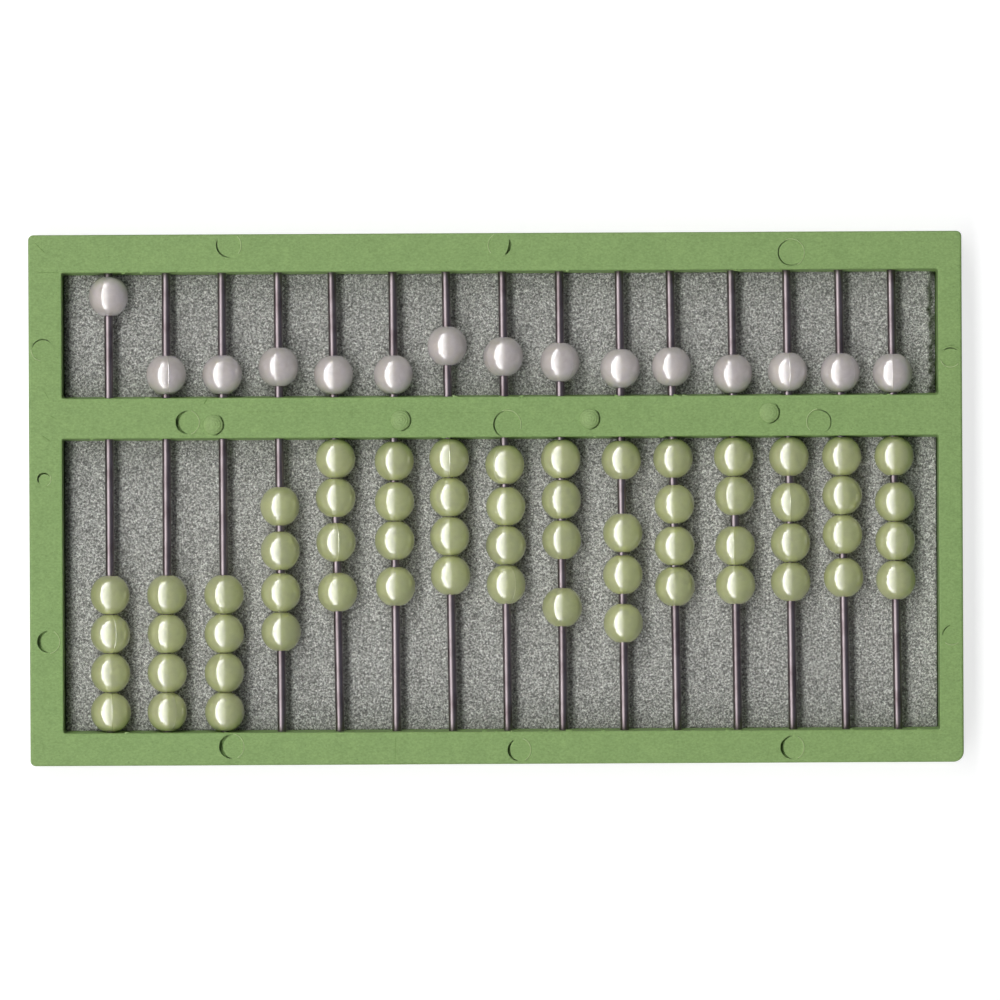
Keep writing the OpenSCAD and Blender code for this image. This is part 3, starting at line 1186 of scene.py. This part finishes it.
@dataclass
class FoamPad:
    """The foam sheet behind the rods: a closed sheet whose cut face is open cells."""

    grid_step: float = 0.42
    cell_size: float = 0.9
    pore_depth: float = 0.38
    pore_share: float = 0.75
    pore_sharpness: float = 1.5
    swell_size: float = 14.0
    swell: float = 0.15
    seed: float = 3.7
    torn_above: float = 15.0
    torn_width: float = 1.0
    torn_depth: float = 2.4
    torn_fade: float = 0.4
    rags: tuple[float, float] = (1.3, 0.5)
    raggedness: float = 0.6

    def build(self, material: Material) -> Piece:
        """Model the sheet and put it on the frame's body.

        Args:
            material: Finish of the foam.

        Returns:
            The dressed sheet.
        """
        low, high = box_mm("foam_pad")
        size = high - low
        middle = ((low.x + high.x) / 2, (low.y + high.y) / 2, high.z)
        columns, rows = round(size.x / self.grid_step), round(size.y / self.grid_step)
        shape = bmesh.new()
        bmesh.ops.create_grid(shape, x_segments=columns, y_segments=rows, size=0.5)
        bmesh.ops.scale(shape, verts=shape.verts, vec=(size.x, size.y, 1))
        bmesh.ops.translate(shape, verts=shape.verts, vec=middle)
        rim = [e for e in shape.edges if e.is_boundary]
        for vert in shape.verts:
            vert.co.z -= max(self.sink(vert.co), self.torn_depth * self.torn(vert.co, high.x))
        grown = bmesh.ops.extrude_edge_only(shape, edges=rim)
        for vert in new_verts(grown):
            vert.co.z = low.z
        bmesh.ops.contextual_create(shape, geom=[e for e in shape.edges if e.is_boundary])
        bmesh.ops.recalc_face_normals(shape, faces=shape.faces)
        piece = loose_object(shape, "foam_sheet")
        finish_piece(piece, material, "frame", "foam_pad", crease=180)
        return piece

    def sink(self, point: Vector) -> float:
        """How far the cut face lies below the sheet's top at a point.

        Args:
            point: Place on the face, in millimetres.

        Returns:
            Depth in millimetres.
        """
        lot = Vector((0, 0, self.seed))
        flat = Vector((point.x, point.y, 0))
        distances = noise.voronoi(flat / self.cell_size + lot)[0]
        pore = max(0.0, 1 - distances[0] / self.pore_share)
        wave = noise.noise(flat / self.swell_size + lot)
        return self.pore_depth * pore ** self.pore_sharpness + self.swell * (1 + wave) / 2

    def torn(self, point: Vector, edge: float) -> float:
        """How far the foam is missing at a point of the ragged right edge in the upper window.

        Args:
            point: Place on the face, in millimetres.
            edge: Place of the sheet's right edge.

        Returns:
            A share from 0 for whole foam to 1 for none.
        """
        if point.y < self.torn_above:
            return 0.0
        coarse, fine = self.rags
        ragged = noise.noise(Vector((self.seed, point.y / coarse, 0)))
        ragged += noise.noise(Vector((point.y / fine, self.seed, 0)))
        width = self.torn_width * (1 + self.raggedness * ragged)
        return min(1.0, max(0.0, (point.x - edge + width) / self.torn_fade))


@dataclass
class RodSet:
    """The fifteen rods, drawn wire with bevelled ends, in their drilled holes."""

    end_bevel: float = 0.2
    diameter: float = 1.5

    def build(self, material: Material) -> Piece:
        """Model the rods and put them on the frame's body.

        Args:
            material: Finish of the rods.

        Returns:
            The dressed rods.
        """
        low, high = box_mm("rods")
        shape = bmesh.new()
        for line in rod_lines():
            line.add_cylinder(shape, self.diameter, low.y, high.y, sides=32)
        rims = [e for e in shape.edges if any(len(f.verts) > 4 for f in e.link_faces)]
        bmesh.ops.bevel(
            shape, geom=rims, offset=self.end_bevel, offset_type="OFFSET", affect="EDGES",
            segments=2, profile=0.5, material=-1,
        )
        piece = loose_object(shape, "rod_set")
        return finish_piece(piece, material, "frame", "rods", crease=50)


@dataclass
class BeadShape:
    """One lacquered bead: a ball with flat ends and a bore, a mould seam, creases and dents of its own."""

    diameter: float
    length: float
    bore: float
    around: int = 112
    rings: int = 44
    ridge_height: float = 0.07
    ridge_width: float = 0.15
    ridge_spread: float = 28.0
    upward_share: float = 0.65
    wave_height: float = 0.02
    wave_counts: tuple[int, ...] = (3, 4, 5, 7)
    ridge_heights: tuple[float, float] = (0.25, 1.0)
    ridge_widths: tuple[float, float] = (0.6, 1.4)
    back_ridge_heights: tuple[float, float] = (0.1, 0.8)
    ridge_fade: float = 1.2
    seam_line_share: float = 0.4
    dent_counts: tuple[int, int] = (3, 7)
    dent_depth: float = 0.05
    dent_widths: tuple[float, float] = (0.3, 0.9)
    dent_reach: float = 0.75
    most_oval: float = 0.014
    tones: tuple[float, float] = (-0.12, 0.22)

    def model(self, draw: random.Random) -> Shape:
        """Model the bead about the origin, with its bore along Y.

        Args:
            draw: Seeded random draws for the bead's own flaws.

        Returns:
            The bead, in millimetres.
        """
        shape = bmesh.new()
        bmesh.ops.create_uvsphere(
            shape, u_segments=self.around, v_segments=self.rings, radius=self.diameter / 2,
        )
        for side in (-1, 1):
            everything = list(shape.verts) + list(shape.edges) + list(shape.faces)
            bmesh.ops.bisect_plane(
                shape, geom=everything, plane_co=(0, 0, side * self.length / 2), plane_no=(0, 0, side),
                clear_outer=True,
            )
        seam = self.flaw(shape, draw)
        self.mark_seam(shape, seam, draw.random() < self.seam_line_share)
        self.drill(shape)
        bmesh.ops.recalc_face_normals(shape, faces=shape.faces)
        upright = Matrix.Rotation(math.radians(90), 3, "X")
        bmesh.ops.rotate(shape, verts=shape.verts, cent=(0, 0, 0), matrix=upright)
        tone = shape.verts.layers.float.new("tone")
        own_tone = draw.uniform(*self.tones)
        for vert in shape.verts:
            vert[tone] = own_tone
        return shape

    def drill(self, shape: Shape) -> None:
        """Close the flat ends inwards to the bore, and line the bore.

        Args:
            shape: The ball, open at both ends.
        """
        rims = [e for e in shape.edges if e.is_boundary]
        grown = bmesh.ops.extrude_edge_only(shape, edges=rims)
        for vert in new_verts(grown):
            spread = math.hypot(vert.co.x, vert.co.y)
            vert.co.x *= self.bore / 2 / spread
            vert.co.y *= self.bore / 2 / spread
        loops = [e for e in shape.edges if e.is_boundary]
        bmesh.ops.bridge_loops(shape, edges=loops)

    def mark_seam(self, shape: Shape, seam: float, shows: bool) -> None:
        """Store how far each vertex lies from the mould seam, for the thin line in the lacquer.

        Args:
            shape: The ball.
            seam: Angle of the seam about the bore.
            shows: Whether the line shows on this bead.
        """
        layer = shape.verts.layers.float.new("from_seam")
        hidden = 0 if shows else self.diameter
        for vert in shape.verts:
            angle = math.atan2(vert.co.y, vert.co.x)
            away = abs((angle - seam + math.pi) % math.tau - math.pi)
            vert[layer] = away * math.hypot(vert.co.x, vert.co.y) + hidden

    def flaw(self, shape: Shape, draw: random.Random) -> float:
        """Move the ball's surface inwards for its seam, waves and dents.

        Args:
            shape: The ball.
            draw: Seeded random draws.

        Returns:
            Angle of the mould seam about the bore.
        """
        sector = math.tau / self.around
        up = math.pi / 2
        tilt = draw.gauss(0, math.radians(self.ridge_spread))
        seam = up + tilt if draw.random() < self.upward_share else draw.uniform(0, math.tau)
        seam = round(seam / sector) * sector
        ridges = [
            (
                seam,
                self.ridge_height * draw.uniform(*self.ridge_heights),
                self.ridge_width * draw.uniform(*self.ridge_widths),
            ),
            (seam + math.pi, self.ridge_height * draw.uniform(*self.back_ridge_heights), self.ridge_width),
        ]
        dents = []
        for _ in range(draw.randint(*self.dent_counts)):
            turn, height = draw.uniform(0, math.tau), draw.uniform(-self.dent_reach, self.dent_reach)
            flat = math.sqrt(1 - height * height)
            spot = Vector((math.cos(turn) * flat, math.sin(turn) * flat, height)) * self.diameter / 2
            dents.append((spot, draw.uniform(*self.dent_widths), draw.uniform(-1, 0) * self.dent_depth))
        waves = [(n, draw.uniform(0, math.tau), self.wave_height * draw.random()) for n in self.wave_counts]
        oval = 1 - draw.uniform(0, self.most_oval)
        for vert in shape.verts:
            angle = math.atan2(vert.co.y, vert.co.x)
            move = sum(height * (math.cos(n * angle + turn) - 1) for n, turn, height in waves)
            for turn, height, width in ridges:
                away = abs((angle - turn + math.pi) % math.tau - math.pi)
                move -= height * (1 - math.exp(-away / width)) * math.exp(-(away / self.ridge_fade) ** 2)
            for spot, width, depth in dents:
                move += depth * math.exp(-((vert.co - spot).length / width) ** 2)
            share = 1 + move / (self.diameter / 2)
            vert.co.x *= share * oval
            vert.co.y *= share
        return seam


@dataclass
class BeadRack:
    """All the beads, each on the body of the group that slides as one."""

    bore: float = 1.9
    finishes: dict[Row, PearlLacquer] = field(default_factory=lambda: {
        Row.UPPER: PearlLacquer("pearl_lacquer_lilac_grey", "#BBB2B0", "#A59C98"),
        Row.LOWER: PearlLacquer("pearl_lacquer_yellow_green", "#9DA557", "#8B9345"),
    })

    def build(self) -> list[Piece]:
        """Model every bead and put it on its body.

        Returns:
            The dressed beads.
        """
        materials = {row: finish.material() for row, finish in self.finishes.items()}
        made = []
        for index, line in enumerate(rod_lines(), start=1):
            rows = {
                f"upper_bead_{index:02d}": Row.UPPER,
                f"lower_beads_{index:02d}_near_bar": Row.LOWER,
                f"lower_beads_{index:02d}_near_rail": Row.LOWER,
            }
            for node, row in rows.items():
                for number, seat in enumerate(bead_seats(node), start=1):
                    made.append(self.bead(node, number, seat, line.lean, row, materials[row]))
        return made

    def bead(
        self, node: str, number: int, seat: BeadSeat, lean: float, row: Row, material: Material,
    ) -> Piece:
        """Model one bead.

        Args:
            node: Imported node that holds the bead.
            number: Place of the bead in its node, from the lowest.
            seat: Where the bead sits.
            lean: Turn of its rod, in radians.
            row: Upper or lower.
            material: Its finish.

        Returns:
            The dressed bead.
        """
        low, high = box_mm(node)
        shape = BeadShape(diameter=high.z - low.z, length=seat.length, bore=self.bore)
        mesh = shape.model(random.Random(f"{node} {number}"))
        bmesh.ops.rotate(mesh, verts=mesh.verts, cent=(0, 0, 0), matrix=Matrix.Rotation(lean, 3, "Z"))
        bmesh.ops.translate(mesh, verts=mesh.verts, vec=seat.centre)
        name = node.replace("beads", "bead").replace("upper_bead", "pearl_upper")
        piece = loose_object(mesh, f"{name}_{number}")
        return finish_piece(piece, material, node, node, crease=60)


@dataclass(frozen=True)
class StripLamp:
    """Long lamp over the left side, by its angles from straight up and its brightness.

    The photographed lamp hangs so near that the beads' tops see far more of it than the foam below them does,
    so its light and its mirror image are two lamps here. A third lamp only shows mirrored: the pale lid.
    """

    name: str
    near: float
    far: float
    brightness: float
    lights_surfaces: bool
    shows_in_gloss: bool
    height: float = 2.0
    length: float = 18.0
    fading_share: float = 0.0
    colour: str = "#FFFFFF"

    def hang(self) -> Piece:
        """Add the lamp to the scene.

        Returns:
            The lamp object.
        """
        near = self.height * math.tan(math.radians(self.near))
        far = self.height * math.tan(math.radians(self.far))
        data = bpy.data.lights.new(self.name, "AREA")
        data.shape = "RECTANGLE"
        data.size = far - near
        data.size_y = self.length
        data.energy = self.brightness * math.pi * data.size * data.size_y
        data.color = linear(self.colour)[:3]
        if self.fading_share > 0:
            self.fade(data)
        lamp = bpy.data.objects.new(self.name, data)
        lamp.location = (-(near + far) / 2, 0, self.height)
        lamp.visible_diffuse = self.lights_surfaces
        lamp.visible_glossy = self.shows_in_gloss
        bpy.context.scene.collection.objects.link(lamp)
        log.info("%s %.0f to %.0f degrees left of straight up", self.name, self.near, self.far)
        return lamp

    def fade(self, data: bpy.types.Light) -> None:
        """Let the lamp's near side fade out.

        Args:
            data: The lamp's data.
        """
        data.use_nodes = True
        tree = data.node_tree
        tree.nodes.clear()
        across = add_node(tree, "ShaderNodeNewGeometry").outputs["Parametric"]
        parts = add_node(tree, "ShaderNodeSeparateXYZ", {"Vector": across})
        level = add_node(tree, "ShaderNodeMapRange", {
            "From Min": 1.0, "From Max": 1.0 - self.fading_share, "Value": parts.outputs["X"],
        })
        glow = add_node(tree, "ShaderNodeEmission", {"Strength": level.outputs["Result"]})
        add_node(tree, "ShaderNodeOutputLight", {"Surface": glow.outputs["Emission"]})


@dataclass
class Studio:
    """Camera straight above, a long strip lamp on the left, a dim room and a pale floor."""

    picture_width: float = 171.3
    sensor: float = 36.0
    camera_height: float = 2000.0
    aim_x: float = 0.69
    aim_y: float = -0.26
    camera_turn: float = -0.28
    lamps: tuple[StripLamp, ...] = (
        StripLamp("strip_lamp", 10, 23.5, 7.5, True, False),
        StripLamp("strip_lamp_image", -8, 53, 5.6, False, True, height=2.2, length=20.0, fading_share=0.8),
        StripLamp("lid_image", -60, -8, 0.15, False, True, height=2.2, length=20.0, colour="#E6E8FF"),
    )
    room_low: float = 0.26
    room_high: float = 0.1
    room_warm: str = "#FFE4D8"
    room_cool: str = "#D4E0FF"
    wall_foot: float = 1.5
    wall_white: str = "#FFFFFF"
    floor_half: float = 30.0
    floor_drop: float = 0.02

    def build(self) -> None:
        """Make the camera, the lamps, the room's light and the floor, and set the plain view."""
        bpy.context.scene.view_settings.view_transform = "Standard"
        self.add_camera()
        for lamp in self.lamps:
            lamp.hang()
        self.add_room()
        self.add_floor()

    def add_camera(self) -> None:
        """Place the camera so that the frame's face has the photographed size and place."""
        data = bpy.data.cameras.new("camera")
        data.sensor_width = self.sensor
        data.lens = self.sensor * self.camera_height / self.picture_width
        camera = bpy.data.objects.new("camera", data)
        face = cad_box[1].z
        camera.location = (self.aim_x * MM, self.aim_y * MM, face + self.camera_height * MM)
        camera.rotation_euler = (0, 0, math.radians(self.camera_turn))
        bpy.context.scene.collection.objects.link(camera)
        bpy.context.scene.camera = camera
        log.info("camera %.0f mm above the face", self.camera_height)

    def add_room(self) -> None:
        """Light the room dimly, warmer on the left, with white feet of the walls behind the floor's edge."""
        world = bpy.data.worlds.new("room")
        bpy.context.scene.world = world
        world.use_nodes = True
        tree = world.node_tree
        tree.nodes.clear()
        heading = add_node(tree, "ShaderNodeTexCoord").outputs["Generated"]
        parts = add_node(tree, "ShaderNodeSeparateXYZ", {"Vector": heading}).outputs
        level = add_node(tree, "ShaderNodeMapRange", {
            "From Max": 0.7, "To Min": self.room_low, "To Max": self.room_high, "Value": parts["Z"],
        })
        side = add_node(tree, "ShaderNodeMapRange", {"From Min": -1.0, "From Max": 1.0, "Value": parts["X"]})
        tint = add_node(tree, "ShaderNodeMix", {
            "data_type": "RGBA", SHARE: side.outputs["Result"],
            FIRST: linear(self.room_warm), SECOND: linear(self.room_cool),
        })
        foot = add_node(tree, "ShaderNodeMath", {
            "operation": "LESS_THAN", 0: parts["Z"], 1: math.sin(math.radians(self.wall_foot)),
        }).outputs["Value"]
        colour = add_node(tree, "ShaderNodeMix", {
            "data_type": "RGBA", SHARE: foot, FIRST: tint.outputs[MIXED], SECOND: linear(self.wall_white),
        })
        strength = add_node(tree, "ShaderNodeMath", {
            "operation": "MAXIMUM", 0: level.outputs["Result"], 1: foot,
        })
        light = add_node(tree, "ShaderNodeBackground", {
            "Color": colour.outputs[MIXED], "Strength": strength.outputs["Value"],
        })
        add_node(tree, "ShaderNodeOutputWorld", {"Surface": light.outputs["Background"]})

    def add_floor(self) -> None:
        """Lay a pale floor that looks white where it is lit and keeps the object's shadow."""
        shape = bmesh.new()
        bmesh.ops.create_grid(shape, x_segments=1, y_segments=1, size=self.floor_half / MM)
        bmesh.ops.translate(shape, verts=shape.verts, vec=(0, 0, -self.floor_drop))
        floor = loose_object(shape, "floor")
        floor.data.materials.append(WhitePaper().material())


def main() -> None:
    """Build the studio and every sub-assembly in order."""
    logging.basicConfig(level=logging.INFO, format="%(message)s")
    Studio().build()
    plastic = MouldedPolystyrene().material()
    FrameMoulding().build(plastic)
    BackPlate().build(plastic)
    FoamPad().build(PolyurethaneFoam().material())
    RodSet().build(DrawnSteel().material())
    BeadRack().build()


if __name__ == "__main__":
    main()
